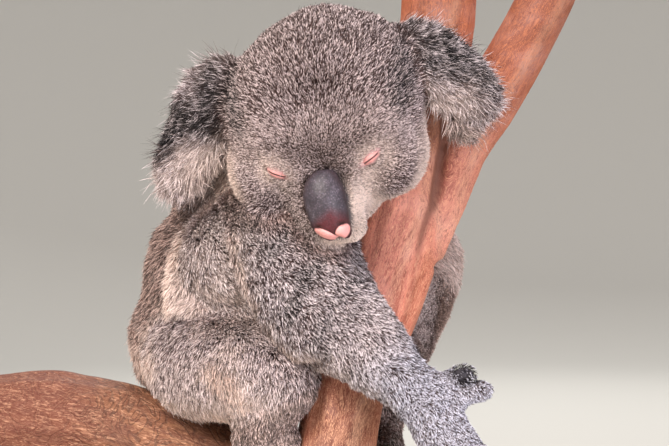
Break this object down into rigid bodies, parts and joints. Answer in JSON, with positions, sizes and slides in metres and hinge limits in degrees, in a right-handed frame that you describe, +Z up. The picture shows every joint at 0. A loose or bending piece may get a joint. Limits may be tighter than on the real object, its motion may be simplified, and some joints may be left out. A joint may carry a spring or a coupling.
{
  "type": "sleeping koala display model",
  "caption": "Life-size still model of a koala asleep against a forked gum trunk, its right arm hanging past it, with a cut perch on a flat display base and rods.",
  "frame": {"origin": "the middle of the stand base's underside, on the floor", "axes": "+Z up. +X is the way the koala's body faces and leans. -Y is the side its turned face looks to, which is its right-hand side. +Y is its left-hand side."},
  "size_m": [0.4052, 0.27, 0.434],
  "materials": {
    "fur": "short dense grizzled grey coat, pale tips over dark brown-grey underfur",
    "fur_pale": "longer pale fringe over a dark-patched ear",
    "nose_skin": "bare finely pebbled slate-black skin, reddish brown between the nostrils",
    "eye": "moist dark eyeball behind closed lids",
    "claw": "worn dark horn with a paler root",
    "bark": "smooth orange-pink gum bark with fine lengthwise fibres, pale sawn ends",
    "stand_board": "satin oak veneer board with softened edges",
    "stand_steel": "satin black powder coat"
  },
  "bodies": {
    "root": {"head": "fur", "jaw": "fur", "neck": "fur", "torso": "fur", "upper_arm_right": "fur", "upper_arm_left": "fur", "forearm_right": "fur", "forearm_left": "fur", "hand_right": "fur", "hand_left": "fur", "thigh_right": "fur", "thigh_left": "fur", "shin_right": "fur", "shin_left": "fur", "foot_right": "fur", "foot_left": "fur", "ear_right": "fur_pale", "eye_right": "eye", "hand_right_claw_1": "claw", "hand_right_claw_2": "claw", "hand_right_claw_3": "claw", "hand_right_claw_4": "claw", "hand_right_claw_5": "claw", "foot_right_claw_1": "claw", "foot_right_claw_2": "claw", "foot_right_claw_3": "claw", "foot_right_claw_4": "claw", "ear_left": "fur_pale", "eye_left": "eye", "hand_left_claw_1": "claw", "hand_left_claw_2": "claw", "hand_left_claw_3": "claw", "hand_left_claw_4": "claw", "hand_left_claw_5": "claw", "foot_left_claw_1": "claw", "foot_left_claw_2": "claw", "foot_left_claw_3": "claw", "foot_left_claw_4": "claw", "nose": "nose_skin", "perch_trunk": "bark", "perch_fork_left": "bark", "perch_fork_right": "bark", "perch_seat_branch": "bark", "stand_base": "stand_board", "stand_rod_1": "stand_steel", "stand_rod_2": "stand_steel"}
  },
  "joints": []
}
